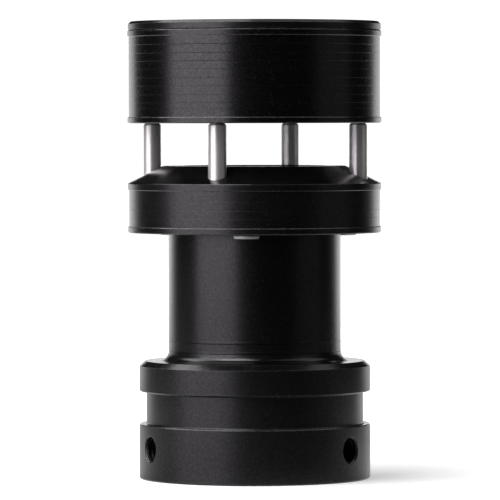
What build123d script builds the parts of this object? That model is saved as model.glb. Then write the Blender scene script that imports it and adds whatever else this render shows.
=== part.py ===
"""Laser collimator with a 2-inch nose, an open viewing gap on four rods and a screwed end cap.

Millimetres. +Z runs along the optical axis from the nose to the end cap. The origin is the centre
of the nose's end face, so the piece stands on the plane z = 0.
"""
from build123d import *
from math import cos, radians, sin
import os

# ---------------------------------------------------------------- driving dimensions
inch = 25.4

# nose and tube, one turned piece
nose_radius = 2 * inch / 2
nose_ring_top = 12.05
groove_radius = 23.85
collar_bottom = 19.2
collar_top = 25.9
collar_bevel_width = 1.25
collar_bevel_height = 1.1
tube_radius = 18.95
tube_fillet = 2.3
tube_seam_angle = 10.0
socket_slip_fit = 0.025
socket_radius = 1.25 * inch / 2 + socket_slip_fit
socket_depth = 27.0
path_radius = 15.4
tube_flange_radius = 25.3
tube_flange_thickness = 4.0

# radial clamp screws of the nose: M6 with a 1 mm pitch
clamp_height = 6.9
clamp_angles = (-154.6, -34.6, 85.4)
clamp_hole_radius = 3.0
clamp_mouth_widening = 0.08
clamp_screw_radius = 2.9
clamp_screw_length = 5.0
clamp_screw_chamfer = 0.4
hex_m6 = 3.0
hex_m6_depth = 2.0
clamp_pad_thickness = 1.0
clamp_pad_recess = 0.2

# viewing base: the ring with the conical top that carries the rods
base_bottom = 54.05
base_band_radius = 27.88
base_body_radius = 27.6
base_lower_step = 55.45
base_upper_step = 63.4
base_rim_top = 64.9
base_top = 68.75
base_flat_radius = 20.0

# M3 socket-head screws under the viewing base
base_screw_circle = 22.0
base_screw_angle = -94.6
m3_radius = 1.48
m3_head_radius = 2.75
m3_head_height = 3.0
m3_head_proud = 0.9
m3_length = 8.0
m3_tip_room = 0.6
hex_m3 = 2.5
hex_m3_depth = 1.3

# spacer rods: 4 mm dowels, each with a thinner spigot that enters the drum
rod_circle = 24.0
rod_angles = (-109.5, -19.5, 70.5, 160.5)
rod_radius = 2.0
rod_bottom = 59.7
rod_chamfer = 0.4
spigot_pin_radius = 1.5
spigot_pin_top = 83.4

# head drum
drum_bottom = 78.05
drum_band_radius = 27.95
drum_body_radius = 27.65
drum_lower_step = 79.4
drum_upper_step = 97.0
drum_top = 98.35
drum_floor_top = 84.0
drum_cavity_radius = 24.8
drum_mouth_radius = 25.1
drum_mouth_bottom = 93.2
pocket_radius = 7.4
pocket_bottom = 80.0
beam_radius = 2.0

# target under the drum
target_radius = 18.9
target_thickness = 0.8
target_hole_radius = 1.6

# laser module and its tilting holder
module_radius = 6.0
module_bottom = 80.4
module_top = 91.0
lens_radius = 3.2
lens_thickness = 1.8
lens_crown = 0.55
lens_bottom = 81.7
lens_seat_radius = 2.6
beam_bore_radius = 2.0
diode_can_radius = 2.35
diode_can_height = 2.2
diode_window_radius = 0.8
diode_pin_circle = 1.27
diode_pin_radius = 0.225
diode_flange_radius = 2.8
diode_flange_bottom = 87.2
diode_flange_thickness = 1.2
board_cup_radius = 5.4
spanner_slot_width = 0.7
spanner_slot_depth = 0.5

# driver board: chip, trimmer and resistor
driver_stand_off = 1.0
driver_chip_place = (0, -3.0)
driver_chip_length = 3.0
driver_chip_width = 1.8
trimmer_place = (-3.2, 0.6)
trimmer_width = 1.8
resistor_place = (2.6, 2.4)
resistor_width = 1.2
resistor_length = 1.6
driver_part_height = 0.8

# tilting holder of the module
holder_sleeve_radius = 6.9
holder_rim_radius = 7.5
holder_flange_radius = 11.8
holder_flange_bottom = 85.0
holder_flange_thickness = 2.0
holder_top = 89.0
tilt_ring_radius = 8.05
tilt_ring_section = 0.48
tilt_screw_circle = 9.9
m2_radius = 0.98
m2_head_radius = 1.9
m2_head_height = 2.0
m2_length = 5.0
hex_m2 = 1.5
hex_m2_depth = 1.0
tilt_hole_depth = 3.0

# batteries: LR44 button cells in a removable cassette
cell_radius = 5.8
cell_height = 5.4
cell_circle = 18.5
cell_angle = 60.0
cell_bottom = 85.6
cell_rounding = 0.4
cell_button_height = 0.7
cell_button_radius = 4.9
cassette_inner_radius = 12.3
cassette_outer_radius = 24.5
cassette_bottom = 84.3
finger_notch_radius = 2.6
contact_thickness = 0.3
contact_radius = 4.8
tongue_length = 6.0
tongue_width = 2.4
tongue_cut = 0.4
contact_ring_inner = 15.2
contact_ring_outer = 21.0

# leads from the driver board to the cassette
lead_radius = 0.45
lead_angles = (-8.0, 112.0)
lead_start = 4.2
lead_arch = 93.0
lead_bend = 1.2

# end cap, screwed in with a 1 mm pitch
cap_radius = 27.82
cap_top = 100.4
cap_chamfer = 0.6
cap_seam_gap = 0.03
spanner_hole_circle = 17.0
spanner_hole_radius = 1.5
spanner_hole_depth = 1.2
spigot_radius = 24.4
spigot_bottom = 93.6
spigot_bore_radius = 22.4
seal_groove_bottom = 97.15
seal_groove_radius = 24.0
seal_section = 0.5
board_radius = 22.3
board_thickness = 1.0
board_hole_circle = 12.0
board_hole_radius = 1.1
capacitor_place = (0, 10.0)
capacitor_length = 3.2
capacitor_width = 1.6
regulator_place = (-8.0, -9.0)
regulator_length = 2.9
regulator_width = 2.4
board_part_height = 1.0
board_ring_width = 1.8
board_ring_slot = 1.4
board_bottom = 94.7

# push button in the end cap
button_radius = 4.0
button_flange_radius = 5.2
button_flange_thickness = 0.45
button_recess = 0.2
switch_width = 6.0
switch_height = 1.4
switch_floor = 0.2
plunger_radius = 1.7
plunger_reach = 0.9
button_rounding = 0.35
dish_radius = 16.0
dish_depth = 0.4

# spring fingers under the switch board
finger_angles = (0.0, 120.0, 240.0)
finger_ring_outer = 20.0
finger_ring_inner = 15.5
finger_place = 16.5
finger_length = 4.5
finger_toe = 1.5
finger_width = 2.6
finger_sheet = 0.25

# edges: broken by the file, by a light chamfer and by a plain one
fine_break = 0.12
light_break = 0.2
edge_break = 0.3

# fits inside one assembly
skin_gap = 0.02
seat_gap = 0.05
wide_gap = 0.1

os.makedirs("parts", exist_ok=True)


def save(piece, name):
    """Label a finished piece and write its STEP file."""
    piece.part.label = name
    export_step(piece.part, f"parts/{name}.step")


def circle_edges(piece, radius, height):
    """The circular edge of a turned piece at one radius and height."""
    near = 0.001
    rims = piece.edges().filter_by(GeomType.CIRCLE)
    rims = rims.filter_by(lambda rim: abs(rim.radius - radius) < near)
    return rims.filter_by(lambda rim: abs(rim.center().Z - height) < near)


def on_circle(radius, angle):
    """A point of a circle about the optical axis, at an angle in degrees from +X."""
    return (radius * cos(radians(angle)), radius * sin(radians(angle)))


def outward_plane(angle, height, distance):
    """A plane that faces outward from the optical axis, at an angle, a height and a distance."""
    outward = (cos(radians(angle)), sin(radians(angle)), 0)
    sideways = (-outward[1], outward[0], 0)
    centre = (distance * outward[0], distance * outward[1], height)
    return Plane(origin=centre, x_dir=sideways, z_dir=outward)


# ---------------------------------------------------------------- barrel: nose, collar, tube and flange
tube_flange_top = base_bottom + tube_flange_thickness
head_seat = base_bottom - m3_head_proud + m3_head_height

with BuildPart() as barrel:
    # the profile stands a little off the X axis, so that the turned faces' seams clear the clamp holes
    with BuildSketch(Plane.XZ.rotated((0, 0, tube_seam_angle))):
        with BuildLine():
            Polyline(
                (socket_radius, 0),
                (nose_radius, 0),
                (nose_radius, nose_ring_top),
                (groove_radius, nose_ring_top),
                (groove_radius, collar_bottom),
                (nose_radius, collar_bottom),
                (nose_radius, collar_top - collar_bevel_height),
                (nose_radius - collar_bevel_width, collar_top),
                (tube_radius, collar_top),
                (tube_radius, base_bottom),
                (tube_flange_radius, base_bottom),
                (tube_flange_radius, tube_flange_top),
                (path_radius, tube_flange_top),
                (path_radius, socket_depth),
                (socket_radius, socket_depth),
                close=True,
            )
        make_face()
    revolve(axis=Axis.Z)
    fillet(circle_edges(barrel, tube_radius, collar_top), radius=tube_fillet)
    fillet(circle_edges(barrel, groove_radius, nose_ring_top), radius=edge_break)
    fillet(circle_edges(barrel, groove_radius, collar_bottom), radius=edge_break)
    chamfer(circle_edges(barrel, nose_radius, 0), length=edge_break)
    chamfer(circle_edges(barrel, socket_radius, 0), length=edge_break)
    chamfer(circle_edges(barrel, nose_radius, nose_ring_top), length=light_break)
    chamfer(circle_edges(barrel, nose_radius, collar_bottom), length=light_break)
    # tapped holes of the clamp screws, each with a countersunk mouth
    for angle in clamp_angles:
        with BuildSketch(outward_plane(angle, clamp_height, path_radius)):
            Circle(clamp_hole_radius)
        extrude(amount=nose_radius, mode=Mode.SUBTRACT)
        with BuildSketch(outward_plane(angle, clamp_height, nose_radius - clamp_mouth_widening)):
            Circle(clamp_hole_radius)
        extrude(amount=2 * clamp_mouth_widening, taper=-45, mode=Mode.SUBTRACT)
    # counterbored holes of the M3 screws
    with BuildSketch(Plane.XY.offset(base_bottom)):
        with PolarLocations(base_screw_circle, 3, start_angle=base_screw_angle):
            Circle(m3_radius + wide_gap)
    extrude(amount=tube_flange_thickness, mode=Mode.SUBTRACT)
    with BuildSketch(Plane.XY.offset(base_bottom)):
        with PolarLocations(base_screw_circle, 3, start_angle=base_screw_angle):
            Circle(m3_head_radius + wide_gap)
    extrude(amount=head_seat - base_bottom, mode=Mode.SUBTRACT)
save(barrel, "barrel")

# ---------------------------------------------------------------- clamp screws and their pads
pad_inner = socket_radius + clamp_pad_recess
screw_inner = pad_inner + clamp_pad_thickness + seat_gap

for number, angle in enumerate(clamp_angles, start=1):
    with BuildPart() as clamp_pad:
        with BuildSketch(outward_plane(angle, clamp_height, pad_inner)):
            Circle(clamp_screw_radius)
        extrude(amount=clamp_pad_thickness)
        chamfer(clamp_pad.edges().filter_by(GeomType.CIRCLE), length=light_break)
    save(clamp_pad, f"clamp_pad_{number}")

    with BuildPart() as clamp_screw:
        with BuildSketch(outward_plane(angle, clamp_height, screw_inner)):
            Circle(clamp_screw_radius)
        extrude(amount=clamp_screw_length)
        chamfer(clamp_screw.edges().filter_by(GeomType.CIRCLE), length=clamp_screw_chamfer)
        with BuildSketch(outward_plane(angle, clamp_height, screw_inner + clamp_screw_length)):
            RegularPolygon(hex_m6 / 2, 6, major_radius=False)
        extrude(amount=-hex_m6_depth, mode=Mode.SUBTRACT)
    save(clamp_screw, f"clamp_screw_{number}")

# ---------------------------------------------------------------- viewing base
m3_tip = head_seat + m3_length

with BuildPart() as viewing_base:
    with BuildSketch(Plane.XZ):
        with BuildLine():
            Polyline(
                (tube_flange_radius + seat_gap, base_bottom),
                (base_band_radius, base_bottom),
                (base_band_radius, base_lower_step),
                (base_body_radius, base_lower_step),
                (base_body_radius, base_upper_step),
                (base_band_radius, base_upper_step),
                (base_band_radius, base_rim_top),
                (base_flat_radius, base_top),
                (path_radius, base_top),
                (path_radius, tube_flange_top + skin_gap),
                (tube_flange_radius + seat_gap, tube_flange_top + skin_gap),
                close=True,
            )
        make_face()
    revolve(axis=Axis.Z)
    chamfer(circle_edges(viewing_base, base_band_radius, base_bottom), length=light_break)
    chamfer(circle_edges(viewing_base, base_band_radius, base_lower_step), length=fine_break)
    chamfer(circle_edges(viewing_base, base_band_radius, base_upper_step), length=fine_break)
    fillet(circle_edges(viewing_base, base_band_radius, base_rim_top), radius=light_break)
    fillet(circle_edges(viewing_base, base_flat_radius, base_top), radius=edge_break)
    chamfer(circle_edges(viewing_base, path_radius, base_top), length=edge_break)
    # reamed holes of the rods
    with BuildSketch(Plane.XY.offset(rod_bottom - wide_gap)):
        for angle in rod_angles:
            with Locations(on_circle(rod_circle, angle)):
                Circle(rod_radius + skin_gap)
    extrude(amount=base_top - rod_bottom, mode=Mode.SUBTRACT)
    # tapped holes of the M3 screws
    with BuildSketch(Plane.XY.offset(tube_flange_top)):
        with PolarLocations(base_screw_circle, 3, start_angle=base_screw_angle):
            Circle(m3_radius + skin_gap)
    extrude(amount=m3_tip + m3_tip_room - tube_flange_top, mode=Mode.SUBTRACT)
save(viewing_base, "viewing_base")

# ---------------------------------------------------------------- M3 screws under the viewing base
with BuildPart() as base_screws:
    with BuildSketch(Plane.XY.offset(base_bottom - m3_head_proud)):
        with PolarLocations(base_screw_circle, 3, start_angle=base_screw_angle):
            Circle(m3_head_radius)
    extrude(amount=m3_head_height)
    head_rims = base_screws.edges().filter_by(GeomType.CIRCLE).group_by(Axis.Z)[0]
    fillet(head_rims, radius=edge_break)
    with BuildSketch(Plane.XY.offset(head_seat)):
        with PolarLocations(base_screw_circle, 3, start_angle=base_screw_angle):
            Circle(m3_radius)
    extrude(amount=m3_length)
    tip_rims = base_screws.edges().filter_by(GeomType.CIRCLE).group_by(Axis.Z)[-1]
    chamfer(tip_rims, length=edge_break)
    with BuildSketch(Plane.XY.offset(base_bottom - m3_head_proud)):
        with PolarLocations(base_screw_circle, 3, start_angle=base_screw_angle):
            RegularPolygon(hex_m3 / 2, 6, major_radius=False)
    extrude(amount=hex_m3_depth, mode=Mode.SUBTRACT)
save(base_screws, "base_screws")

# ---------------------------------------------------------------- spacer rods
rod_shoulder = drum_bottom - skin_gap

for number, angle in enumerate(rod_angles, start=1):
    with BuildPart() as spacer_rod:
        with BuildSketch(Plane.XY.offset(rod_bottom)):
            with Locations(on_circle(rod_circle, angle)):
                Circle(rod_radius)
        extrude(amount=rod_shoulder - rod_bottom)
        chamfer(spacer_rod.edges().filter_by(GeomType.CIRCLE), length=rod_chamfer)
        with BuildSketch(Plane.XY.offset(rod_shoulder)):
            with Locations(on_circle(rod_circle, angle)):
                Circle(spigot_pin_radius)
        extrude(amount=spigot_pin_top - rod_shoulder)
        chamfer(circle_edges(spacer_rod, spigot_pin_radius, spigot_pin_top), length=edge_break)
    save(spacer_rod, f"spacer_rod_{number}")

# ---------------------------------------------------------------- head drum
target_top = drum_bottom + wide_gap + target_thickness

with BuildPart() as drum:
    with BuildSketch(Plane.XZ):
        with BuildLine():
            Polyline(
                (beam_radius, target_top),
                (target_radius + seat_gap, target_top),
                (target_radius + seat_gap, drum_bottom),
                (drum_band_radius, drum_bottom),
                (drum_band_radius, drum_lower_step),
                (drum_body_radius, drum_lower_step),
                (drum_body_radius, drum_upper_step),
                (drum_band_radius, drum_upper_step),
                (drum_band_radius, drum_top),
                (drum_mouth_radius, drum_top),
                (drum_mouth_radius, drum_mouth_bottom),
                (drum_cavity_radius, drum_mouth_bottom),
                (drum_cavity_radius, drum_floor_top),
                (pocket_radius, drum_floor_top),
                (pocket_radius, pocket_bottom),
                (beam_radius, pocket_bottom),
                close=True,
            )
        make_face()
    revolve(axis=Axis.Z)
    chamfer(circle_edges(drum, drum_band_radius, drum_bottom), length=light_break)
    chamfer(circle_edges(drum, drum_band_radius, drum_lower_step), length=fine_break)
    chamfer(circle_edges(drum, drum_band_radius, drum_upper_step), length=fine_break)
    chamfer(circle_edges(drum, drum_band_radius, drum_top), length=fine_break)
    chamfer(circle_edges(drum, drum_mouth_radius, drum_top), length=light_break)
    # blind holes for the spigots of the rods
    with BuildSketch(Plane.XY.offset(drum_bottom)):
        for angle in rod_angles:
            with Locations(on_circle(rod_circle, angle)):
                Circle(spigot_pin_radius + skin_gap)
    extrude(amount=spigot_pin_top + wide_gap - drum_bottom, mode=Mode.SUBTRACT)
    # tapped holes of the tilt screws
    with BuildSketch(Plane.XY.offset(drum_floor_top)):
        with PolarLocations(tilt_screw_circle, 3):
            Circle(m2_radius + skin_gap)
    extrude(amount=-tilt_hole_depth, mode=Mode.SUBTRACT)
save(drum, "drum")

with BuildPart() as target_plate:
    with BuildSketch(Plane.XY.offset(target_top - skin_gap)):
        Circle(target_radius)
        Circle(target_hole_radius, mode=Mode.SUBTRACT)
    extrude(amount=-target_thickness)
save(target_plate, "target_plate")

# ---------------------------------------------------------------- laser module
diode_seat = diode_flange_bottom - diode_can_height
board_cup_bottom = diode_flange_bottom + diode_flange_thickness
lens_shoulder = lens_bottom + lens_thickness + wide_gap
diode_shoulder = diode_flange_bottom - skin_gap

with BuildPart() as module_body:
    with BuildSketch(Plane.XZ):
        with BuildLine():
            Polyline(
                (lens_radius + seat_gap, module_bottom),
                (module_radius, module_bottom),
                (module_radius, module_top),
                (board_cup_radius, module_top),
                (board_cup_radius, board_cup_bottom),
                (diode_flange_radius + seat_gap, board_cup_bottom),
                (diode_flange_radius + seat_gap, diode_shoulder),
                (diode_can_radius + wide_gap, diode_shoulder),
                (diode_can_radius + wide_gap, diode_seat),
                (beam_bore_radius, diode_seat),
                (beam_bore_radius, lens_shoulder),
                (lens_radius + seat_gap, lens_shoulder),
                close=True,
            )
        make_face()
    revolve(axis=Axis.Z)
    chamfer(circle_edges(module_body, module_radius, module_bottom), length=edge_break)
    chamfer(circle_edges(module_body, module_radius, module_top), length=edge_break)
save(module_body, "module_body")

lens_top = lens_bottom + lens_thickness
lens_curve_radius = (lens_radius**2 + lens_crown**2) / (2 * lens_crown)

with BuildPart() as collimating_lens:
    with BuildSketch(Plane.XY.offset(lens_bottom)):
        Circle(lens_radius)
    extrude(amount=lens_thickness)
    with Locations((0, 0, lens_top - lens_curve_radius)):
        Sphere(lens_curve_radius, mode=Mode.INTERSECT)
save(collimating_lens, "collimating_lens")

lens_ring_bottom = module_bottom + wide_gap

with BuildPart() as lens_ring:
    with BuildSketch(Plane.XY.offset(lens_ring_bottom)):
        Circle(lens_radius + skin_gap)
        Circle(lens_seat_radius, mode=Mode.SUBTRACT)
    extrude(amount=lens_bottom - seat_gap - lens_ring_bottom)
    # two spanner slots across the front face
    with BuildSketch(Plane.XY.offset(lens_ring_bottom)):
        Rectangle(3 * lens_radius, spanner_slot_width)
    extrude(amount=spanner_slot_depth, mode=Mode.SUBTRACT)
save(lens_ring, "lens_ring")

diode_can_bottom = diode_seat + wide_gap
diode_flange_top = diode_flange_bottom + diode_flange_thickness

with BuildPart() as laser_diode:
    with BuildSketch(Plane.XY.offset(diode_can_bottom)):
        Circle(diode_can_radius)
    extrude(amount=diode_flange_bottom - diode_can_bottom)
    with BuildSketch(Plane.XY.offset(diode_can_bottom)):
        Circle(diode_window_radius)
    extrude(amount=light_break, mode=Mode.SUBTRACT)
    with BuildSketch(Plane.XY.offset(diode_flange_bottom)):
        Circle(diode_flange_radius)
    extrude(amount=diode_flange_thickness)
    with BuildSketch(Plane.XY.offset(diode_flange_top)):
        with PolarLocations(diode_pin_circle, 3):
            Circle(diode_pin_radius)
    extrude(amount=module_top - diode_flange_top)
save(laser_diode, "laser_diode")

driver_bottom = board_cup_bottom + driver_stand_off
driver_top = driver_bottom + board_thickness

with BuildPart() as driver_board:
    with BuildSketch(Plane.XY.offset(driver_bottom)):
        Circle(board_cup_radius - wide_gap)
        with PolarLocations(diode_pin_circle, 3):
            Circle(diode_pin_radius + wide_gap, mode=Mode.SUBTRACT)
    extrude(amount=board_thickness)
    with BuildSketch(Plane.XY.offset(driver_top)):
        with Locations(driver_chip_place):
            Rectangle(driver_chip_length, driver_chip_width)
        with Locations(trimmer_place):
            Rectangle(trimmer_width, trimmer_width)
        with Locations(resistor_place):
            Rectangle(resistor_width, resistor_length)
    extrude(amount=driver_part_height)
save(driver_board, "driver_board")

# ---------------------------------------------------------------- tilting holder of the module
holder_flange_top = holder_flange_bottom + holder_flange_thickness

with BuildPart() as module_holder:
    with BuildSketch(Plane.XZ):
        with BuildLine():
            Polyline(
                (module_radius + skin_gap, module_bottom),
                (holder_sleeve_radius, module_bottom),
                (holder_sleeve_radius, holder_flange_bottom),
                (holder_flange_radius, holder_flange_bottom),
                (holder_flange_radius, holder_flange_top),
                (holder_rim_radius, holder_flange_top),
                (holder_rim_radius, holder_top),
                (module_radius + skin_gap, holder_top),
                close=True,
            )
        make_face()
    revolve(axis=Axis.Z)
    chamfer(circle_edges(module_holder, holder_flange_radius, holder_flange_top), length=edge_break)
    with BuildSketch(Plane.XY.offset(holder_flange_bottom)):
        with PolarLocations(tilt_screw_circle, 3):
            Circle(m2_radius + wide_gap)
    extrude(amount=holder_flange_thickness, mode=Mode.SUBTRACT)
save(module_holder, "module_holder")

with BuildPart() as tilt_ring:
    with BuildSketch(Plane.XZ):
        with Locations((tilt_ring_radius, (drum_floor_top + holder_flange_bottom) / 2)):
            Circle(tilt_ring_section)
    revolve(axis=Axis.Z)
save(tilt_ring, "tilt_ring")

tilt_head_bottom = holder_flange_top + skin_gap

with BuildPart() as tilt_screws:
    with BuildSketch(Plane.XY.offset(tilt_head_bottom)):
        with PolarLocations(tilt_screw_circle, 3):
            Circle(m2_head_radius)
    extrude(amount=m2_head_height)
    fillet(tilt_screws.edges().filter_by(GeomType.CIRCLE).group_by(Axis.Z)[-1], radius=light_break)
    with BuildSketch(Plane.XY.offset(tilt_head_bottom)):
        with PolarLocations(tilt_screw_circle, 3):
            Circle(m2_radius)
    extrude(amount=-m2_length)
    with BuildSketch(Plane.XY.offset(tilt_head_bottom + m2_head_height)):
        with PolarLocations(tilt_screw_circle, 3):
            RegularPolygon(hex_m2 / 2, 6, major_radius=False)
    extrude(amount=-hex_m2_depth, mode=Mode.SUBTRACT)
save(tilt_screws, "tilt_screws")

# ---------------------------------------------------------------- battery cassette
cell_top = cell_bottom + cell_height
cassette_top = cell_top + contact_thickness

with BuildPart() as battery_cassette:
    with BuildSketch(Plane.XY.offset(cassette_bottom)):
        Circle(cassette_outer_radius)
        Circle(cassette_inner_radius, mode=Mode.SUBTRACT)
    extrude(amount=cassette_top - cassette_bottom)
    with BuildSketch(Plane.XY.offset(cell_bottom - contact_thickness)):
        with PolarLocations(cell_circle, 3, start_angle=cell_angle):
            Circle(cell_radius + seat_gap)
    extrude(amount=cell_height + 2 * contact_thickness, mode=Mode.SUBTRACT)
    # finger notches for lifting a cell, one beside each pocket
    with BuildSketch(Plane.XY.offset(cell_bottom + cell_height / 2)):
        with PolarLocations(cell_circle, 3, start_angle=cell_angle):
            with Locations((0, cell_radius)):
                Circle(finger_notch_radius)
    extrude(amount=cell_height, mode=Mode.SUBTRACT)
save(battery_cassette, "battery_cassette")

with BuildPart() as button_cells:
    with BuildSketch(Plane.XY.offset(cell_bottom)):
        with PolarLocations(cell_circle, 3, start_angle=cell_angle):
            Circle(cell_radius)
    extrude(amount=cell_height - cell_button_height)
    fillet(button_cells.edges().filter_by(GeomType.CIRCLE), radius=cell_rounding)
    with BuildSketch(Plane.XY.offset(cell_top - cell_button_height)):
        with PolarLocations(cell_circle, 3, start_angle=cell_angle):
            Circle(cell_button_radius)
    extrude(amount=cell_button_height - skin_gap)
save(button_cells, "button_cells")

tongue_inner_length = tongue_length - 2 * tongue_cut
tongue_inner_width = tongue_width - 2 * tongue_cut
contact_bottoms = {"lower_contacts": cell_bottom - contact_thickness, "upper_contacts": cell_top}

for name, bottom in contact_bottoms.items():
    with BuildPart() as contacts:
        with BuildSketch(Plane.XY.offset(bottom)):
            with PolarLocations(cell_circle, 3, start_angle=cell_angle):
                Circle(contact_radius)
        extrude(amount=contact_thickness - skin_gap)
        # one folded spring tongue in the middle of each plate
        with BuildSketch(Plane.XY.offset(bottom)):
            with PolarLocations(cell_circle, 3, start_angle=cell_angle):
                SlotOverall(tongue_length, tongue_width)
                SlotOverall(tongue_inner_length, tongue_inner_width, mode=Mode.SUBTRACT)
        extrude(amount=contact_thickness / 3, mode=Mode.SUBTRACT)
    save(contacts, name)

# ring on which the fingers of the end cap run
with BuildPart() as contact_ring:
    with BuildSketch(Plane.XY.offset(cassette_top + skin_gap)):
        Circle(contact_ring_outer)
        Circle(contact_ring_inner, mode=Mode.SUBTRACT)
    extrude(amount=contact_thickness - skin_gap)
save(contact_ring, "contact_ring")

# ---------------------------------------------------------------- leads from the driver to the cassette
lead_end = cassette_inner_radius + 2 * lead_radius

with BuildPart() as driver_leads:
    for angle in lead_angles:
        start = on_circle(lead_start, angle)
        end = on_circle(lead_end, angle)
        with BuildLine() as lead_path:
            FilletPolyline(
                (start[0], start[1], driver_top),
                (start[0], start[1], lead_arch),
                (end[0], end[1], lead_arch),
                (end[0], end[1], cassette_top),
                radius=lead_bend,
            )
        with BuildSketch(Plane(origin=(start[0], start[1], driver_top), z_dir=(0, 0, 1))):
            Circle(lead_radius)
        sweep(path=lead_path.line)
save(driver_leads, "driver_leads")

# ---------------------------------------------------------------- end cap
cap_bottom = drum_top + cap_seam_gap
seal_groove_top = seal_groove_bottom + 2 * seal_section + wide_gap
button_hole_radius = button_radius + wide_gap

with BuildPart() as end_cap:
    with BuildSketch(Plane.XZ):
        with BuildLine():
            Polyline(
                (button_hole_radius, cap_bottom),
                (spigot_bore_radius, cap_bottom),
                (spigot_bore_radius, spigot_bottom),
                (spigot_radius, spigot_bottom),
                (spigot_radius, seal_groove_bottom),
                (seal_groove_radius, seal_groove_bottom),
                (seal_groove_radius, seal_groove_top),
                (spigot_radius, seal_groove_top),
                (spigot_radius, cap_bottom),
                (cap_radius, cap_bottom),
                (cap_radius, cap_top),
                (button_hole_radius, cap_top),
                close=True,
            )
        make_face()
    revolve(axis=Axis.Z)
    chamfer(circle_edges(end_cap, cap_radius, cap_top), length=cap_chamfer)
    chamfer(circle_edges(end_cap, cap_radius, cap_bottom), length=light_break)
    chamfer(circle_edges(end_cap, spigot_radius, spigot_bottom), length=edge_break)
    chamfer(circle_edges(end_cap, button_hole_radius, cap_top), length=edge_break)
    # two blind holes for a pin spanner
    with BuildSketch(Plane.XY.offset(cap_top)):
        with PolarLocations(spanner_hole_circle, 2, start_angle=90):
            Circle(spanner_hole_radius)
    extrude(amount=-spanner_hole_depth, mode=Mode.SUBTRACT)
save(end_cap, "end_cap")

seal_ring_radius = seal_groove_radius + seat_gap + seal_section
seal_height = (seal_groove_bottom + seal_groove_top) / 2

with BuildPart() as cap_seal:
    with BuildSketch(Plane.XZ):
        with Locations((seal_ring_radius, seal_height)):
            Circle(seal_section)
    revolve(axis=Axis.Z)
save(cap_seal, "cap_seal")

board_top = board_bottom + board_thickness

with BuildPart() as switch_board:
    with BuildSketch(Plane.XY.offset(board_bottom)):
        Circle(board_radius)
        with PolarLocations(board_hole_circle, 2):
            Circle(board_hole_radius, mode=Mode.SUBTRACT)
    extrude(amount=board_thickness)
    with BuildSketch(Plane.XY.offset(board_top)):
        with Locations(capacitor_place):
            Rectangle(capacitor_length, capacitor_width)
        with Locations(regulator_place):
            Rectangle(regulator_length, regulator_width)
    extrude(amount=board_part_height)
save(switch_board, "switch_board")

board_ring_bottom = spigot_bottom + wide_gap

with BuildPart() as board_ring:
    with BuildSketch(Plane.XY.offset(board_ring_bottom)):
        Circle(spigot_bore_radius - skin_gap)
        Circle(spigot_bore_radius - board_ring_width, mode=Mode.SUBTRACT)
    extrude(amount=board_bottom - seat_gap - board_ring_bottom)
    with BuildSketch(Plane.XY.offset(board_ring_bottom)):
        Rectangle(2 * spigot_bore_radius, board_ring_slot)
    extrude(amount=spanner_slot_depth, mode=Mode.SUBTRACT)
save(board_ring, "board_ring")

# ---------------------------------------------------------------- switch and push button
switch_top = board_top + switch_height

with BuildPart() as tact_switch:
    with BuildSketch(Plane.XY.offset(board_top)):
        RectangleRounded(switch_width, switch_width, edge_break)
    extrude(amount=switch_height)
    with BuildSketch(Plane.XY.offset(switch_top)):
        Circle(plunger_radius + wide_gap)
    extrude(amount=switch_floor - switch_height, mode=Mode.SUBTRACT)
save(tact_switch, "tact_switch")

button_flange_top = drum_top - skin_gap
button_flange_bottom = button_flange_top - button_flange_thickness
button_top = cap_top - button_recess

with BuildPart() as switch_plunger:
    with BuildSketch(Plane.XY.offset(button_flange_bottom - skin_gap)):
        Circle(plunger_radius)
    extrude(amount=-plunger_reach)
    chamfer(switch_plunger.edges().filter_by(GeomType.CIRCLE), length=fine_break)
save(switch_plunger, "switch_plunger")

with BuildPart() as push_button:
    with BuildSketch(Plane.XY.offset(button_flange_bottom)):
        Circle(button_flange_radius)
    extrude(amount=button_flange_thickness)
    with BuildSketch(Plane.XY.offset(button_flange_top)):
        Circle(button_radius)
    extrude(amount=button_top - button_flange_top)
    fillet(circle_edges(push_button, button_radius, button_top), radius=button_rounding)
    # dished top for the fingertip
    with Locations((0, 0, button_top + dish_radius - dish_depth)):
        Sphere(dish_radius, mode=Mode.SUBTRACT)
save(push_button, "push_button")

# ---------------------------------------------------------------- contact fingers under the switch board
finger_root = board_bottom - skin_gap - finger_sheet / 2
contact_ring_top = cassette_top + contact_thickness
finger_drop = finger_root - contact_ring_top - finger_sheet

with BuildPart() as contact_fingers:
    with BuildSketch(Plane.XY.offset(board_bottom - skin_gap)):
        Circle(finger_ring_outer)
        Circle(finger_ring_inner, mode=Mode.SUBTRACT)
    extrude(amount=-finger_sheet)
    for angle in finger_angles:
        with BuildSketch(outward_plane(angle, finger_root, finger_place)):
            with BuildLine():
                Polyline(
                    (-finger_toe, 0),
                    (0, 0),
                    (finger_length, -finger_drop),
                    (finger_length + finger_toe, finger_toe / 2 - finger_drop),
                )
            trace(line_width=finger_sheet)
        extrude(amount=finger_width)
save(contact_fingers, "contact_fingers")
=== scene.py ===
import math

import bmesh
import bpy
from mathutils import Matrix, Vector


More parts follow.
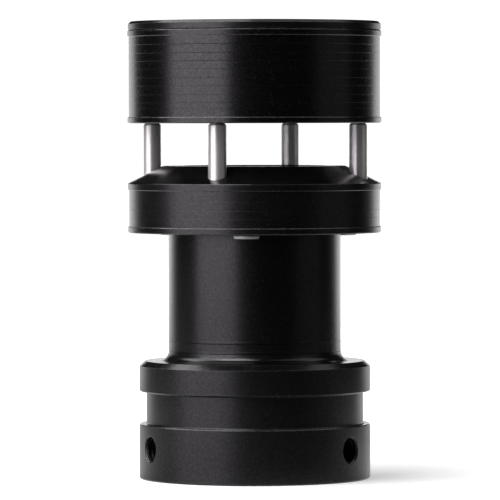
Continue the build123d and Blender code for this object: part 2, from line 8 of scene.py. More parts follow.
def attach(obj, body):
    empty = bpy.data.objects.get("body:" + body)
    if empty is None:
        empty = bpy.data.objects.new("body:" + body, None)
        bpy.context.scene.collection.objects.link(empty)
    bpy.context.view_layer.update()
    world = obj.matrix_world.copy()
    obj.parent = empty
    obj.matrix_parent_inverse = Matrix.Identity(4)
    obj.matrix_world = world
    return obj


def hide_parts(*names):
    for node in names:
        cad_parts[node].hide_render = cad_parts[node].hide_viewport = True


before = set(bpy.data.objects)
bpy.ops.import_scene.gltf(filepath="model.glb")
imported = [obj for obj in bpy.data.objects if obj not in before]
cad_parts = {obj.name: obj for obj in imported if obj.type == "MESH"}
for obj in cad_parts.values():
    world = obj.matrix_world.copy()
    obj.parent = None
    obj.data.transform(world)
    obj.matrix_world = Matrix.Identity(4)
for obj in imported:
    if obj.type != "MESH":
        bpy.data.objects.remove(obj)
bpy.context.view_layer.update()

# ------------------------------------------------------------------ sizes, in metres
MM = 0.001
TURN = 2 * math.pi

NOSE_RADIUS = 25.4 * MM
CLAMP_HEIGHT = 6.9 * MM
CLAMP_ANGLES = (-154.6, -34.6, 85.4)

# tapped clamp holes: wall, crest, where the thread starts and how far its skin sinks into the wall
HOLE_RADIUS = 3.0 * MM
HOLE_CREST = 2.6 * MM
HOLE_START = 16.0 * MM
HOLE_SINK = 0.03 * MM

# clamp screws: the thread, the chamfers and the socket, whose floor is a drill's shallow cone
SCREW_RADIUS = 2.9 * MM
SCREW_ROOT = 2.55 * MM
SCREW_START = 17.15 * MM
SCREW_LENGTH = 5.0 * MM
SCREW_CHAMFER = 0.4 * MM
SOCKET_FLAT = 1.5 * MM
SOCKET_DEPTH = 2.0 * MM
SOCKET_LIP = 0.05 * MM
SOCKET_BEVEL = 0.15 * MM
DRILL_RADIUS = 0.9 * SOCKET_FLAT
DRILL_TIP = 0.1 * SOCKET_FLAT
DRILL_CONE = 0.35 * MM

# threads of the end cap and the drum's mouth: radius of the buried side, of the root and of the crest
CAP_THREAD = (24.37 * MM, 24.4 * MM, 24.95 * MM)
MOUTH_THREAD = (25.13 * MM, 25.1 * MM, 24.55 * MM)
CAP_THREAD_SPAN = (93.95 * MM, 96.95 * MM)
MOUTH_THREAD_SPAN = (93.4 * MM, 97.0 * MM)

# ------------------------------------------------------------------ camera
# the sensor and the lens in millimetres
SENSOR_WIDTH = 36
FOCAL_LENGTH = 338.688
CAMERA_DISTANCE = 1035 * MM
CAMERA_HEIGHT = 78.2 * MM
CAMERA_SIDE = -0.97 * MM
CAMERA_TILT = math.radians(1.552)
CAMERA_ROLL = math.radians(0.1)


def make_camera():
    """A long lens at the height of the viewing gap, looking along +Y and slightly down."""
    data = bpy.data.cameras.new("camera")
    data.sensor_width = SENSOR_WIDTH
    data.lens = FOCAL_LENGTH
    data.clip_start, data.clip_end = 0.05, 50
    camera = bpy.data.objects.new("camera", data)
    camera.location = (CAMERA_SIDE, -CAMERA_DISTANCE, CAMERA_HEIGHT)
    camera.rotation_euler = (math.pi / 2 - CAMERA_TILT, CAMERA_ROLL, 0)
    bpy.context.scene.collection.objects.link(camera)
    bpy.context.scene.camera = camera


# ------------------------------------------------------------------ shader building
class Shader:
    """A node material under construction, with short calls for its usual nodes."""

    def __init__(self, name, **inputs):
        self.material = bpy.data.materials.new(name)
        self.material.use_nodes = True
        self.tree = self.material.node_tree
        self.bsdf = self.tree.nodes["Principled BSDF"]
        for socket, value in inputs.items():
            self.bsdf.inputs[socket.replace("_", " ")].default_value = value
        self.place = self.node("ShaderNodeTexCoord").outputs["Object"]

    def node(self, kind, inputs=None, **settings):
        made = self.tree.nodes.new(kind)
        for key, value in settings.items():
            setattr(made, key, value)
        for socket, value in (inputs or {}).items():
            self.feed(made.inputs[socket], value)
        return made

    def feed(self, socket, value):
        if isinstance(value, bpy.types.NodeSocket):
            self.tree.links.new(value, socket)
        else:
            socket.default_value = value

    def math(self, operation, first, second=0.0):
        return self.node("ShaderNodeMath", {0: first, 1: second}, operation=operation).outputs[0]

    def axes(self):
        return self.node("ShaderNodeSeparateXYZ", {0: self.place}).outputs

    def radius(self):
        """Distance from the optical axis."""
        x, y, _ = self.axes()
        return self.math("SQRT", self.math("ADD", self.math("MULTIPLY", x, x), self.math("MULTIPLY", y, y)))

    def noise(self, scale, detail, roughness=0.5):
        """Noise with cells of about 1/scale metres."""
        made = self.node("ShaderNodeTexNoise", {"Vector": self.place, "Scale": scale, "Detail": detail,
                                                "Roughness": roughness})
        return made.outputs[0]

    def line_noise(self, along, scale):
        """Noise that changes along one value only, as turning marks do."""
        where = self.math("MULTIPLY", along, scale)
        inputs = {"W": where, "Scale": 1.0, "Detail": 3.0}
        return self.node("ShaderNodeTexNoise", inputs, noise_dimensions="1D").outputs[0]

    def ramp(self, value, low, high, out_low=0.0, out_high=1.0):
        """A value mapped from low..high to out_low..out_high, and held at the ends."""
        made = self.node("ShaderNodeMapRange", {"Value": value, "From Min": low, "From Max": high,
                                                "To Min": out_low, "To Max": out_high})
        return made.outputs[0]

    def spread(self, noise, out_low, out_high):
        """A noise mapped to out_low..out_high. Nearly all of it lies between 0.3 and 0.7."""
        return self.ramp(noise, 0.3, 0.7, out_low, out_high)

    def blend(self, share, first, second):
        made = self.node("ShaderNodeMix", data_type="RGBA")
        self.feed(made.inputs[0], share)
        self.feed(made.inputs[6], first)
        self.feed(made.inputs[7], second)
        return made.outputs[2]

    def mottle(self, cloud, colour, darkest):
        """A colour that a noise darkens here and there, down to a share of it."""
        return self.blend(cloud, tuple(darkest * part for part in colour) + (1.0,), tuple(colour) + (1.0,))

    def normal_z(self):
        """How far the surface faces up: 1 on a level face, 0 on an upright one."""
        normal = self.node("ShaderNodeNewGeometry").outputs["Normal"]
        return self.node("ShaderNodeSeparateXYZ", {0: normal}).outputs[2]

    def edges(self, radius):
        """1 where the surface turns within that distance, 0 on flat and gently curved ground."""
        soft = self.node("ShaderNodeBevel", {"Radius": radius}, samples=6).outputs[0]
        true = self.node("ShaderNodeNewGeometry").outputs["Normal"]
        alike = self.node("ShaderNodeVectorMath", {0: soft, 1: true}, operation="DOT_PRODUCT")
        return self.ramp(alike.outputs["Value"], 0.995, 0.90)

    def bump(self, height, distance, under=None):
        inputs = {"Height": height, "Distance": distance, "Strength": 1.0}
        if under is not None:
            inputs["Normal"] = under
        return self.node("ShaderNodeBump", inputs).outputs[0]

    def cross(self, first, second):
        return self.node("ShaderNodeVectorMath", {0: first, 1: second}, operation="CROSS_PRODUCT").outputs[0]

    def finish(self, **sockets):
        for socket, value in sockets.items():
            self.feed(self.bsdf.inputs[socket.replace("_", " ")], value)
        return self.material


# ------------------------------------------------------------------ anodised aluminium
# the dye's purple cast, the pale specks in it, the rubbed edges and how metallic the open pores are
DYE_CAST = (1.05, 0.96, 1.08)
SPECK_COLOUR = (0.10, 0.098, 0.105, 1.0)
SPECK_WEIGHT = 0.33
WORN_COLOUR = (0.33, 0.32, 0.335, 1.0)
WORN_WEIGHT = 0.8
WORN_WIDTH = 0.11 * MM
PORE_METAL = 0.33

# depths of the grain and of the turning marks, and how much smoother a faced end is than a turned side
GRAIN = 0.006 * MM
TURNING_MARKS = 0.0008 * MM
FACED_SMOOTHER = 0.14


def even(value):
    """One value all along a piece, in the form that anodised takes."""
    return (0.0, 1.0, value, value)


def scored_line(shader, height, place, width, drop):
    """A small step round a turned face, in millimetres: a drop above zero faces down, one below zero up."""
    half = width / 2
    return shader.ramp(height, place - half, place + half, 0.0, drop / MM)


def anodised_colour(shader, black, cloud):
    """A dyed black that drifts along z, with pale specks, and rubbed bright in patches along the edges."""
    tone = shader.math("MULTIPLY", shader.ramp(shader.axes()[2], *black), shader.spread(cloud, 0.8, 1.2))
    parts = {channel: shader.math("MULTIPLY", tone, cast) for channel, cast in enumerate(DYE_CAST)}
    dyed = shader.node("ShaderNodeCombineColor", parts).outputs[0]
    speck = shader.ramp(shader.noise(3300, 1.0), 0.68, 0.74)
    specked = shader.blend(shader.math("MULTIPLY", speck, SPECK_WEIGHT), dyed, SPECK_COLOUR)
    patches = shader.ramp(shader.noise(900, 2.0), 0.30, 0.62, 0.25, 1.0)
    worn = shader.math("MULTIPLY", shader.edges(WORN_WIDTH), patches)
    return shader.blend(shader.math("MULTIPLY", worn, WORN_WEIGHT), specked, WORN_COLOUR)


def anodised(name, rough, black, grain=GRAIN, steps=(), gloss=1.56):
    """Black anodised aluminium: fine grain, turning marks along z and scored lines given as (z, width, drop).

    rough and black are (z low, z high, value low, value high): both drift along the piece."""
    shader = Shader(name, IOR=gloss)
    height = shader.axes()[2]
    pores = shader.ramp(shader.noise(2300, 2.0), 0.35, 0.65, 0.0, PORE_METAL)
    fine = shader.noise(3600, 3.0, 0.6)
    cloud = shader.noise(90, 3.0, 0.55)
    drift = shader.math("ADD", shader.spread(cloud, -0.012, 0.012), shader.spread(fine, -0.035, 0.035))
    roughness = shader.math("ADD", shader.ramp(height, *rough), drift)
    level = shader.math("ABSOLUTE", shader.normal_z())
    roughness = shader.math("ADD", roughness, shader.ramp(level, 0.25, 0.8, 0.0, -FACED_SMOOTHER))
    normal = shader.bump(fine, grain)
    normal = shader.bump(shader.line_noise(height, 9000), TURNING_MARKS, under=normal)
    if steps:
        total = 0.0
        for place, width, drop in steps:
            total = shader.math("ADD", total, scored_line(shader, height, place, width, drop))
        normal = shader.bump(total, MM, under=normal)
    return shader.finish(Base_Color=anodised_colour(shader, black, cloud), Roughness=roughness, Normal=normal,
                         Metallic=pores)


# ------------------------------------------------------------------ bare metals
# the colour of the painted shade on screw sides, close under what they sit in
SEAT_SHADE_COLOUR = (0.05, 0.05, 0.05, 1.0)


def steel(name, tint, rough, marks, along="z"):
    """Bright steel with fine grinding marks round the piece, or in circles on its face."""
    shader = Shader(name, Metallic=1.0)
    place = shader.axes()[2] if along == "z" else shader.radius()
    lines = shader.line_noise(place, 16000)
    cloud = shader.noise(260, 3.0)
    roughness = shader.math("ADD", shader.spread(lines, rough - 0.05, rough + 0.05),
                            shader.spread(cloud, -0.02, 0.03))
    normal = shader.bump(lines, marks)
    normal = shader.bump(shader.noise(3800, 2.0), marks * 0.4, under=normal)
    return shader.finish(Base_Color=shader.mottle(cloud, tint, 0.92), Roughness=roughness, Normal=normal)


def ground_rod(name, tint, rough, bare, lay, shade_heights=None):
    """Steel ground round its length: the fine marks spread every reflection up and down the rod.

    bare is how metallic it is, lay how strongly the marks run round it, and the last argument gives the
    heights over which a painted shade darkens it, close under what it sits in."""
    shader = Shader(name, Metallic=bare, Anisotropic=lay)
    height = shader.axes()[2]
    lines = shader.line_noise(height, 7000)
    cloud = shader.noise(300, 3.0)
    colour = shader.mottle(cloud, tint, 0.93)
    # painted shade: darker over the given heights, where the piece it sits in shades it
    if shade_heights:
        colour = shader.blend(shader.ramp(height, *shade_heights), colour, SEAT_SHADE_COLOUR)
    roughness = shader.math("ADD", shader.spread(lines, rough - 0.03, rough + 0.03),
                            shader.spread(cloud, -0.02, 0.02))
    normal = shader.node("ShaderNodeNewGeometry").outputs["Normal"]
    across = shader.cross((0.0, 0.0, 1.0), normal)
    return shader.finish(Base_Color=colour, Roughness=roughness, Tangent=shader.cross(normal, across))


def brass(name):
    """Turned brass with dull patches of tarnish."""
    shader = Shader(name, Metallic=1.0)
    lines = shader.line_noise(shader.axes()[2], 12000)
    tarnish = shader.noise(420, 4.0)
    colour = shader.blend(tarnish, (0.50, 0.33, 0.12, 1.0), (0.74, 0.55, 0.25, 1.0))
    return shader.finish(Base_Color=colour, Roughness=shader.spread(tarnish, 0.38, 0.22),
                         Normal=shader.bump(lines, 0.006 * MM))


def plated(name, tint):
    """Sheet metal with a thin bright plating."""
    shader = Shader(name, Metallic=1.0)
    cloud = shader.noise(520, 4.0)
    return shader.finish(Base_Color=shader.mottle(cloud, tint, 0.86),
                         Roughness=shader.spread(cloud, 0.2, 0.34),
                         Normal=shader.bump(shader.noise(3000, 2.0), 0.004 * MM))


# ------------------------------------------------------------------ other materials
def plastic(name, colour, rough, grain=0.012 * MM):
    """Moulded plastic with the fine grain of its mould."""
    shader = Shader(name, IOR=1.5)
    fine = shader.noise(3300, 3.0)
    mixed = shader.mottle(shader.noise(150, 3.0), colour, 0.85)
    return shader.finish(Base_Color=mixed, Roughness=shader.spread(fine, rough - 0.06, rough + 0.06),
                         Normal=shader.bump(fine, grain))


# the target: its field, the spacing of its rings, and the widths of its printed lines, full black and with
# their soft edges
FIELD_RADIUS = 12.2 * MM
RING_SPACING = 2 * MM
RING_LINE = (0.22 * MM, 0.30 * MM)
CROSS_LINE = (0.20 * MM, 0.28 * MM)


def target_face(name):
    """A matt white field with thin black rings and a cross through the beam hole, in a black border."""
    shader = Shader(name, IOR=1.45)
    x, y, _ = shader.axes()
    radius = shader.radius()
    cycle = shader.math("FRACT", shader.math("DIVIDE", radius, RING_SPACING))
    from_middle = shader.math("ABSOLUTE", shader.math("SUBTRACT", cycle, 0.5))
    full, soft = (0.5 - width / RING_SPACING / 2 for width in RING_LINE)
    ring = shader.ramp(from_middle, soft, full)
    arms = [shader.ramp(shader.math("ABSOLUTE", aside), CROSS_LINE[0] / 2, CROSS_LINE[1] / 2, 1.0, 0.0)
            for aside in (x, y)]
    printed = shader.math("MAXIMUM", ring, shader.math("MAXIMUM", *arms))
    inside = shader.math("LESS_THAN", radius, FIELD_RADIUS)
    border = shader.math("GREATER_THAN", radius, FIELD_RADIUS)
    ink = shader.math("MAXIMUM", shader.math("MULTIPLY", printed, inside), border)
    paper = shader.blend(shader.noise(1400, 3.0), (0.80, 0.80, 0.78, 1.0), (0.88, 0.88, 0.86, 1.0))
    colour = shader.blend(ink, paper, (0.008, 0.008, 0.008, 1.0))
    fine = shader.noise(4200, 2.0)
    return shader.finish(Base_Color=colour, Roughness=shader.spread(fine, 0.55, 0.68),
                         Normal=shader.bump(fine, 0.006 * MM))


def circuit_board(name):
    """Green solder mask with copper tracks under it."""
    shader = Shader(name, IOR=1.5)
    bricks = shader.node("ShaderNodeTexBrick", {
        "Vector": shader.place, "Scale": 520.0, "Color1": (0.006, 0.075, 0.028, 1.0),
        "Color2": (0.010, 0.105, 0.040, 1.0), "Mortar": (0.035, 0.19, 0.075, 1.0), "Mortar Size": 0.05,
        "Bias": -0.2})
    fine = shader.noise(2600, 2.0)
    return shader.finish(Base_Color=bricks.outputs[0], Roughness=shader.spread(fine, 0.28, 0.4),
                         Normal=shader.bump(bricks.outputs["Fac"], 0.02 * MM))


def rubber(name):
    """Matt black rubber with a dusty bloom."""
    shader = Shader(name, IOR=1.45)
    fine = shader.noise(3600, 3.0)
    colour = shader.blend(shader.noise(300, 2.0), (0.012, 0.012, 0.012, 1.0), (0.022, 0.022, 0.022, 1.0))
    return shader.finish(Base_Color=colour, Roughness=shader.spread(fine, 0.55, 0.75),
                         Normal=shader.bump(fine, 0.01 * MM))


def coated_glass(name):
    """Clear glass whose thin coating shifts between two faint tints."""
    shader = Shader(name, IOR=1.52, Transmission_Weight=1.0, Coat_Weight=0.4)
    film = shader.blend(shader.noise(200, 1.0), (0.93, 0.97, 1.0, 1.0), (0.97, 0.94, 1.0, 1.0))
    return shader.finish(Base_Color=film, Roughness=shader.spread(shader.noise(2500, 2.0), 0.0, 0.02))


def dress(node, material):
    """Give a CAD node a material in place of its packed one."""
    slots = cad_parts[node].data.materials
    slots.clear()
    slots.append(material)


# ------------------------------------------------------------------ turned and threaded pieces
SEGMENTS = 96
THREAD_PITCH = 1.0 * MM
ROWS_PER_PITCH = 14
TOOTH_FLAT = 0.1
# how many turns an inner thread is shifted by, so that its crests lie in the outer thread's roots
INNER_SHIFT = 0.5
SHARP_ANGLE = math.radians(32)


def spun(name, rows, place, material, ring=False, mouth=None, mouth_level=0):
    """A closed mesh from rows of (radius, height) pairs, one pair for each segment round the local Z axis.

    Its two ends close at points on that axis, or the last row joins the first where it is a ring. From the
    mouth level on it takes the mouth's material."""
    verts, faces = [], []
    for row in rows:
        for step, (radius, height) in enumerate(row):
            angle = TURN * step / SEGMENTS
            verts.append((radius * math.cos(angle), radius * math.sin(angle), height))
    spans = len(rows) if ring else len(rows) - 1
    for level in range(spans):
        low, high = level * SEGMENTS, (level + 1) % len(rows) * SEGMENTS
        for step in range(SEGMENTS):
            after = (step + 1) % SEGMENTS
            faces.append((low + step, low + after, high + after, high + step))
    if not ring:
        for start, height in ((0, rows[0][0][1]), (len(verts) - SEGMENTS, rows[-1][0][1])):
            centre = len(verts)
            verts.append((0, 0, height))
            faces += [(start + step, start + (step + 1) % SEGMENTS, centre) for step in range(SEGMENTS)]
    mesh = bpy.data.meshes.new(name)
    mesh.from_pydata([place @ Vector(vert) for vert in verts], [], faces)
    shape = bmesh.new()
    shape.from_mesh(mesh)
    bmesh.ops.recalc_face_normals(shape, faces=shape.faces)
    shape.to_mesh(mesh)
    shape.free()
    mesh.shade_smooth()
    mesh.set_sharp_from_angle(angle=SHARP_ANGLE)
    mesh.materials.append(material)
    if mouth:
        mesh.materials.append(mouth)
        for face in mesh.polygons[mouth_level * SEGMENTS:]:
            face.material_index = 1
    piece = bpy.data.objects.new(name, mesh)
    bpy.context.scene.collection.objects.link(piece)
    return piece


def flank(step, height, shift=0.0):
    """How high a right-hand thread stands at a segment and a height: 0 in the root, 1 on the crest.

    The shift is in turns. The root and the crest are flat over a tenth of the tooth's rise."""
    turns = height / THREAD_PITCH - step / SEGMENTS + shift
    tooth = 1 - abs(2 * (turns % 1.0) - 1)
    return min(max((tooth - TOOTH_FLAT) / (1 - 2 * TOOTH_FLAT), 0.0), 1.0)


def fade(height, low, high):
    """1 along a thread, falling to 0 over the last half turn at each end."""
    return min(max(min(height - low, high - height) / (THREAD_PITCH / 2), 0.0), 1.0)


def levels(low, high):
    """Evenly spaced heights for the rows of a thread."""
    count = round((high - low) / THREAD_PITCH * ROWS_PER_PITCH)
    return [low + (high - low) * row / count for row in range(count + 1)]


def thread_sleeve(name, buried, root, crest, low, high, shift, material):
    """A thread on the optical axis. Its far side is buried in the piece that carries it."""
    rows = []
    for height in levels(low, high):
        tooth = (crest - root) * fade(height, low, high)
        rows.append([(root + tooth * flank(step, height, shift), height) for step in range(SEGMENTS)])
    rows.append([(buried, high)] * SEGMENTS)
    rows.append([(buried, low)] * SEGMENTS)
    return spun(name, rows, Matrix.Identity(4), material, ring=True)


def outward_frame(angle):
    """A frame on the optical axis whose Z runs outward at the clamp holes' height."""
    turn = math.radians(angle)
    outward = Vector((math.cos(turn), math.sin(turn), 0))
    sideways = Vector((-outward.y, outward.x, 0))
    axes = Matrix((sideways, outward.cross(sideways), outward)).transposed().to_4x4()
    return Matrix.Translation((0, 0, CLAMP_HEIGHT)) @ axes


def clamp_thread(name, angle, material, mouth):
    """The thread inside one clamp hole, cut back to a small countersink at the curved mouth."""
    ends = []
    for step in range(SEGMENTS):
        aside = HOLE_RADIUS * math.cos(TURN * step / SEGMENTS)
        ends.append(math.sqrt(NOSE_RADIUS ** 2 - aside ** 2) - HOLE_SINK)
    count = round((NOSE_RADIUS - HOLE_START) / THREAD_PITCH * ROWS_PER_PITCH)
    rows = []
    for level in range(count + 1):
        row = []
        for step, end in enumerate(ends):
            height = HOLE_START + (end - HOLE_START) * level / count
            share = min((height - HOLE_START) / (THREAD_PITCH / 2), 1.0)
            toothed = HOLE_RADIUS - (HOLE_RADIUS - HOLE_CREST) * share * flank(step, height, INNER_SHIFT)
            row.append((max(toothed, HOLE_RADIUS - (end - height)), height))
        rows.append(row)
    outer = HOLE_RADIUS + HOLE_SINK
    rows.append([(outer, end) for end in ends])
    rows.append([(outer, HOLE_START)] * SEGMENTS)
    bevel_rows = math.ceil((HOLE_RADIUS - HOLE_CREST) / THREAD_PITCH * ROWS_PER_PITCH)
    return spun(name, rows, outward_frame(angle), material, ring=True, mouth=mouth,
                mouth_level=count - bevel_rows)


def clamp_screw(name, angle, material):
    """A threaded grub screw with a chamfer at each end and a hexagon socket in its outer one."""
    low, high = SCREW_START, SCREW_START + SCREW_LENGTH
    rows = []
    for height in levels(low, high):
        limit = SCREW_RADIUS - SCREW_CHAMFER + min(height - low, high - height)
        row = []
        for step in range(SEGMENTS):
            toothed = SCREW_ROOT + (SCREW_RADIUS - SCREW_ROOT) * flank(step, height)
            row.append((min(toothed, limit), height))
        rows.append(row)
    sector = TURN / 6
    from_flats = [(TURN * step / SEGMENTS) % sector - sector / 2 for step in range(SEGMENTS)]
    flats = [SOCKET_FLAT / math.cos(aside) for aside in from_flats]
    corner = SOCKET_FLAT / math.cos(sector / 2)
    floor = high - SOCKET_DEPTH
    rows.append([(corner + SOCKET_LIP, high)] * SEGMENTS)
    rows.append([(flat, high - SOCKET_BEVEL) for flat in flats])
    rows.append([(flat, floor) for flat in flats])
    rows.append([(DRILL_RADIUS, floor)] * SEGMENTS)
    rows.append([(DRILL_TIP, floor - DRILL_CONE)] * SEGMENTS)
    return spun(name, rows, outward_frame(angle), material)


# ------------------------------------------------------------------ lights and stage
def area_light(name, place, aim, width, height, strength, colour=(1.0, 1.0, 1.0)):
    """A softbox: its strength is the brightness of its face, so its power follows its size."""
    data = bpy.data.lights.new(name, "AREA")
    data.shape = "RECTANGLE"
    data.size, data.size_y = width, height
    data.energy = strength * math.pi * width * height
    data.color = colour
    light = bpy.data.objects.new(name, data)
    light.location = place
    light.rotation_euler = (Vector(aim) - Vector(place)).to_track_quat("-Z", "Y").to_euler()
    light.visible_camera = False
    bpy.context.scene.collection.objects.link(light)


def around(angle, reach, height):
    """A point at a distance from the axis. The angle runs from the camera's side towards +X."""
    turn = math.radians(angle)
    return (reach * math.sin(turn), -reach * math.cos(turn), height)


def make_lights():
    """A large softbox at the left, a white surround behind, a weak card at the right and four above."""
    middle = (0, 0, 0.08)
    # the softbox, whose reflection is the broad pale band on the metal
    area_light("key", around(-53, 0.62, 0.12), middle, width=0.67, height=0.9, strength=2.65,
               colour=(1.0, 0.93, 1.02))
    # the surround, seen as bright edges on every round
    area_light("surround", around(179, 0.75, -0.06), (0, 0, -0.06), width=1.28, height=0.42, strength=1.25)
    area_light("card", around(76, 0.7, 0.2), middle, width=0.5, height=0.7, strength=0.14)
    # overhead, for the faces that look up: strongest in front at the left, for the fillets and bevels
    area_light("overhead_left", (-0.42, 0.08, 0.88), middle, width=0.9, height=0.9, strength=2.8)
    area_light("overhead_right", (0.42, 0.1, 0.9), middle, width=0.75, height=0.9, strength=0.6)
    area_light("overhead_back", around(168, 0.7, 0.46), middle, width=0.16, height=0.16, strength=0.9)
    area_light("overhead_front", around(-42, 0.5, 0.92), middle, width=0.55, height=0.45, strength=5.2)


TABLE_REACH = 4.0
WHITE = (1.0, 1.0, 1.0, 1.0)

# how bright the table is for the camera: at the object's foot, beside it, and what it gains further out
GLOW_FOOT = 0.42
GLOW_NEAR = 0.8
GLOW_FAR = 0.35

# how bright the table looks from the object: in front near and far, at its foot, beside it and at the left
TABLE_FRONT = (0.09, 0.03)
TABLE_FOOT = 0.45
TABLE_SIDE = 0.95
TABLE_LEFT = 0.42

# where each of those changes, as distances from the axis
GLOW_NEAR_ZONE = (0.03, 0.1)
GLOW_FAR_ZONE = (0.1, 0.5)
BEHIND_ZONE = (0.12, 0.18)
FRONT_ZONE = (0.12, 0.3)
FOOT_ZONE = (0.033, 0.041)
SIDE_ZONE = (0.09, 0.2)
LEFT_ZONE = (0.25, 0.5)

# the white sector behind, as y over that distance, and where the side begins along y and the left along x
BEHIND_SECTOR = (0.62, 0.80)
SIDE_START = (-0.035, 0.02)
LEFT_START = (-0.09, -0.03)

# how bright the surround is for the camera and from the object
SURROUND_SEEN = 1.1
SURROUND_ROOM = 0.02


def glow_for_camera(tree, seen, unseen, output):
    """Join two shaders, one for what the camera sees itself and one for what falls on the object."""
    choice = tree.nodes.new("ShaderNodeMixShader")
    path = tree.nodes.new("ShaderNodeLightPath")
    tree.links.new(path.outputs["Is Camera Ray"], choice.inputs[0])
    tree.links.new(unseen, choice.inputs[1])
    tree.links.new(seen, choice.inputs[2])
    tree.links.new(choice.outputs[0], output)


def table_glow(shader):
    """The table's own light for the camera, weak at the object's foot, so that the softbox's shadow shows."""
    radius = shader.radius()
    near = shader.ramp(radius, *GLOW_NEAR_ZONE, GLOW_FOOT, GLOW_NEAR)
    return shader.math("ADD", near, shader.ramp(radius, *GLOW_FAR_ZONE, 0.0, GLOW_FAR))


def table_from_object(shader):
    """The table as the object reflects it: white behind, pale at its foot, beside it and at the left, and
    dark in front."""
    x, y, _ = shader.axes()
    radius = shader.radius()
    sector = shader.ramp(shader.math("DIVIDE", y, radius), *BEHIND_SECTOR)
    behind = shader.math("MULTIPLY", sector, shader.ramp(radius, *BEHIND_ZONE))
    beside = shader.math("MULTIPLY", shader.ramp(y, *SIDE_START),
                         shader.ramp(radius, *SIDE_ZONE, TABLE_SIDE, 0.0))
    left = shader.math("MULTIPLY", shader.ramp(x, *LEFT_START, 1.0, 0.0),
                       shader.ramp(radius, *LEFT_ZONE, TABLE_LEFT, 0.0))
    foot = shader.ramp(radius, *FOOT_ZONE, TABLE_FOOT, 0.0)
    front = shader.ramp(radius, *FRONT_ZONE, *TABLE_FRONT)
    open_table = shader.math("ADD", front, shader.math("MAXIMUM", beside, left))
    return shader.math("MAXIMUM", behind, shader.math("MAXIMUM", foot, open_table))


def make_table():
    """A pale table top that glows for the camera and is mostly dark for the object."""
    corners = [(-TABLE_REACH, -TABLE_REACH, 0), (TABLE_REACH, -TABLE_REACH, 0), (TABLE_REACH, TABLE_REACH, 0),
               (-TABLE_REACH, TABLE_REACH, 0)]
    mesh = bpy.data.meshes.new("floor")
    mesh.from_pydata(corners, [], [(0, 1, 2, 3)])
    floor = bpy.data.objects.new("floor", mesh)
    bpy.context.scene.collection.objects.link(floor)
    shader = Shader("floor_white", Roughness=0.7, Emission_Color=WHITE)
    white_top = shader.finish(Base_Color=(0.8, 0.8, 0.8, 1.0), Emission_Strength=table_glow(shader))
    mesh.materials.append(white_top)
    pale = shader.node("ShaderNodeEmission", {"Color": WHITE, "Strength": table_from_object(shader)})
    output = shader.tree.nodes["Material Output"].inputs["Surface"]
    glow_for_camera(shader.tree, shader.bsdf.outputs[0], pale.outputs[0], output)


def make_world():
    """A plain white surround for the camera, and a nearly dark room for the object."""
    world = bpy.data.worlds.new("studio")
    world.use_nodes = True
    bpy.context.scene.world = world
    tree = world.node_tree
    shown = tree.nodes.new("ShaderNodeBackground")
    room = tree.nodes["Background"]
    for background, strength in ((shown, SURROUND_SEEN), (room, SURROUND_ROOM)):
        background.inputs["Color"].default_value = WHITE
        background.inputs["Strength"].default_value = strength
    glow_for_camera(tree, shown.outputs[0], room.outputs[0], tree.nodes["World Output"].inputs["Surface"])


# ------------------------------------------------------------------ the object
# slopes of scored lines: one that faces the table looks dark, and one that faces up catches the light above
DARK = 0.6
BRIGHT = -0.42

# heights over which a painted shade darkens the heads of the base screws, close under the base that they sit
# in
SCREW_SEAT_SHADE = (53.6 * MM, 53.9 * MM)


def scored(heights, widths, slope):
    """Scored lines at heights and of widths given in millimetres, all of one slope."""
    return [(height * MM, width * MM, slope * width * MM) for height, width in zip(heights, widths)]


drum_steps = scored((95.16, 93.28, 91.52, 89.80, 87.89, 86.15, 84.24, 82.50, 81.22),
                    (0.09, 0.08, 0.08, 0.035, 0.045, 0.04, 0.038, 0.038, 0.02), DARK)
base_steps = scored((61.03, 59.14, 57.38), (0.035, 0.06, 0.05), BRIGHT)
tube_steps = scored((30.71, 28.50), (0.07, 0.07), BRIGHT) + scored((30.21, 28.03), (0.14, 0.14), DARK)

fine_black = anodised("anodised_drum", even(0.255), even(0.0012), steps=drum_steps)
base_black = anodised("anodised_base", even(0.30), even(0.0042), steps=base_steps)
barrel_black = anodised("anodised_barrel", (0.019, 0.030, 0.335, 0.30), (0.010, 0.034, 0.006, 0.002),
                        1.3 * GRAIN, tube_steps)
plain_black = anodised("anodised_plain", even(0.30), even(0.003))
bore_black = anodised("anodised_bore", even(0.62), even(0.001), gloss=1.15)
stainless = ground_rod("ground_stainless", (0.97, 0.97, 0.94), 0.42, 0.70, 0.85)
screw_sides = ground_rod("screw_steel_sides", (0.96, 0.97, 0.93), 0.55, 0.4, 0.0, SCREW_SEAT_SHADE)
screw_steel = steel("screw_steel", (0.72, 0.71, 0.69), 0.20, 0.0012 * MM, along="radius")
button_metal = steel("turned_aluminium", (0.66, 0.66, 0.67), 0.30, 0.004 * MM, along="radius")
black_oxide = steel("black_oxide", (0.035, 0.035, 0.038), 0.42, 0.003 * MM)
module_brass = brass("turned_brass")
contact_metal = plated("plated_contact", (0.72, 0.62, 0.40))
nickel = plated("nickel_plate", (0.70, 0.69, 0.66))
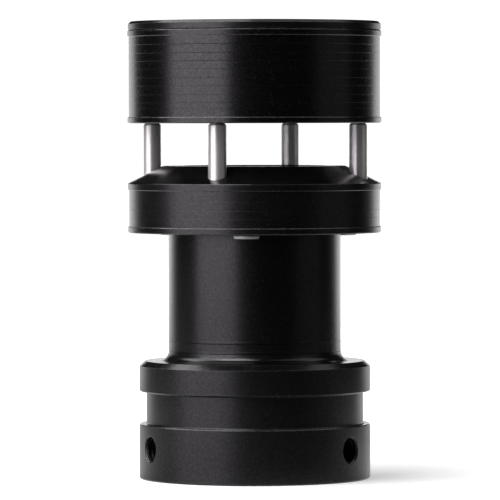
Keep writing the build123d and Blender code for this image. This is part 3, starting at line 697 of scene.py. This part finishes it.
white_face = target_face("target_rings")
green_board = circuit_board("circuit_board")
black_plastic = plastic("black_moulding", (0.022, 0.022, 0.024), 0.5)
nylon = plastic("natural_nylon", (0.72, 0.70, 0.62), 0.45)
lead_skin = plastic("lead_insulation", (0.42, 0.02, 0.02), 0.35, 0.004 * MM)
seal_black = rubber("seal_rubber")
lens_glass = coated_glass("lens_glass")

finishes = {
    "barrel": barrel_black, "viewing_base": base_black, "drum": fine_black, "end_cap": plain_black,
    "module_holder": plain_black, "board_ring": plain_black, "push_button": button_metal,
    "base_screws": screw_sides, "tilt_screws": screw_steel, "target_plate": white_face,
    "module_body": module_brass, "lens_ring": module_brass, "collimating_lens": lens_glass,
    "laser_diode": nickel, "driver_board": green_board, "switch_board": green_board,
    "driver_leads": lead_skin, "battery_cassette": black_plastic, "tact_switch": black_plastic,
    "switch_plunger": black_plastic, "button_cells": nickel, "lower_contacts": contact_metal,
    "upper_contacts": contact_metal, "contact_ring": contact_metal, "contact_fingers": contact_metal,
    "cap_seal": seal_black, "tilt_ring": seal_black,
}
for number in range(1, 5):
    finishes[f"spacer_rod_{number}"] = stainless
for number in range(1, 4):
    finishes[f"clamp_screw_{number}"] = black_oxide
    finishes[f"clamp_pad_{number}"] = nylon
for node, material in finishes.items():
    dress(node, material)

cap_thread = thread_sleeve("cap_thread", *CAP_THREAD, *CAP_THREAD_SPAN, 0.0, plain_black)
mouth_thread = thread_sleeve("mouth_thread", *MOUTH_THREAD, *MOUTH_THREAD_SPAN, INNER_SHIFT, fine_black)
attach(cap_thread, "cap")
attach(mouth_thread, "barrel")
for number, angle in enumerate(CLAMP_ANGLES, start=1):
    hole = clamp_thread(f"clamp_hole_thread_{number}", angle, bore_black, barrel_black)
    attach(hole, "barrel")
    screw = clamp_screw(f"clamp_screw_threaded_{number}", angle, black_oxide)
    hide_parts(f"clamp_screw_{number}")
    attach(screw, f"clamp_{number}")

make_camera()
make_lights()
make_table()
make_world()
bpy.context.scene.view_settings.view_transform = "Standard"
